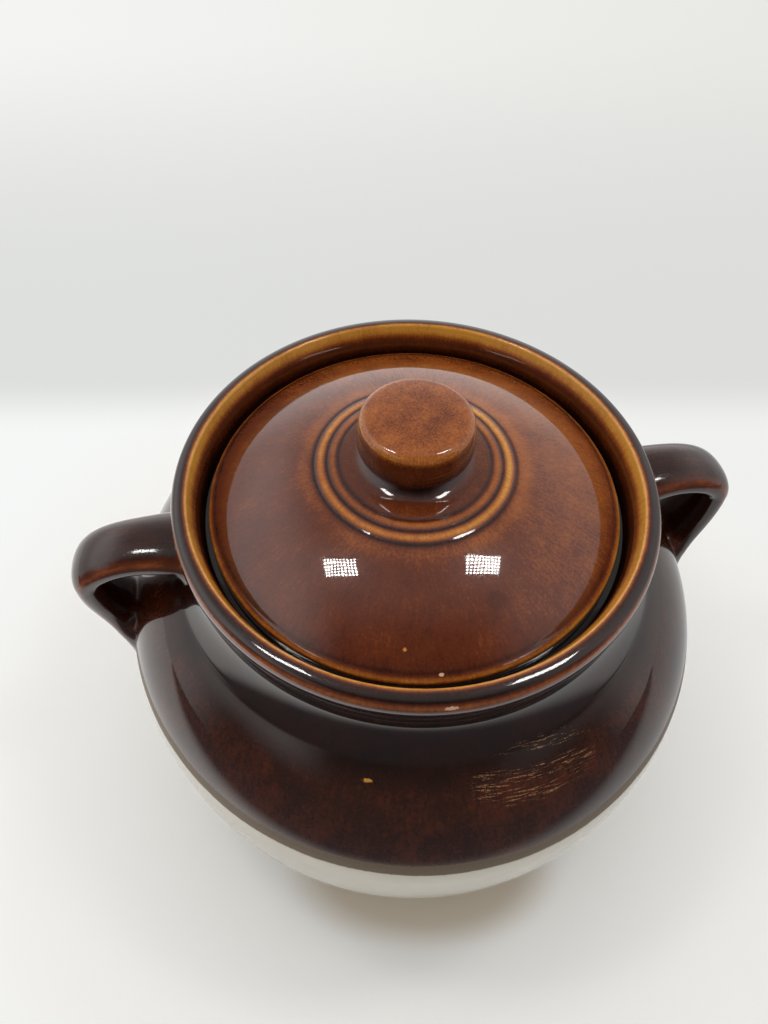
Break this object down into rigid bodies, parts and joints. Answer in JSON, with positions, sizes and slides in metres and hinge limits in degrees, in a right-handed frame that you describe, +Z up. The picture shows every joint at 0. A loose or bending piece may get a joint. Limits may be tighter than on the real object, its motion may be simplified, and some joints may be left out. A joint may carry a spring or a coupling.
{
  "type": "stoneware bean pot",
  "caption": "Round-bellied stoneware bean pot, brown over cream glaze, with two strap handles and a loose domed lid with a knob that sits inside the rolled rim.",
  "frame": {"origin": "centre of the foot, on the surface that the pot stands on", "axes": "+Z up along the pot's turning axis and the way the lid lifts; X through both handles, +X to the right handle; -Y to the front"},
  "size_m": [0.212, 0.1888, 0.1736],
  "materials": {
    "pot_glaze": "glossy dark brown glaze above the belly's middle, matt brown line, cream glaze below, bare foot ring",
    "handle_glaze": "glossy near-black brown glaze, thinner and amber on its edges",
    "lid_glaze": "glossy mottled red-brown glaze, dark in the grooves and amber on the beads and the edge",
    "knob_glaze": "glossy mottled orange-brown glaze, darker at the foot"
  },
  "bodies": {
    "pot": {"pot_body": "pot_glaze", "handle_left": "handle_glaze", "handle_right": "handle_glaze"},
    "lid": {"lid": "lid_glaze", "lid_knob": "knob_glaze"}
  },
  "joints": [
    {"name": "lid_lift", "type": "slide", "parent": "pot", "child": "lid", "axis": [0, 0, 1], "range_m": [0, 0.12]}
  ]
}
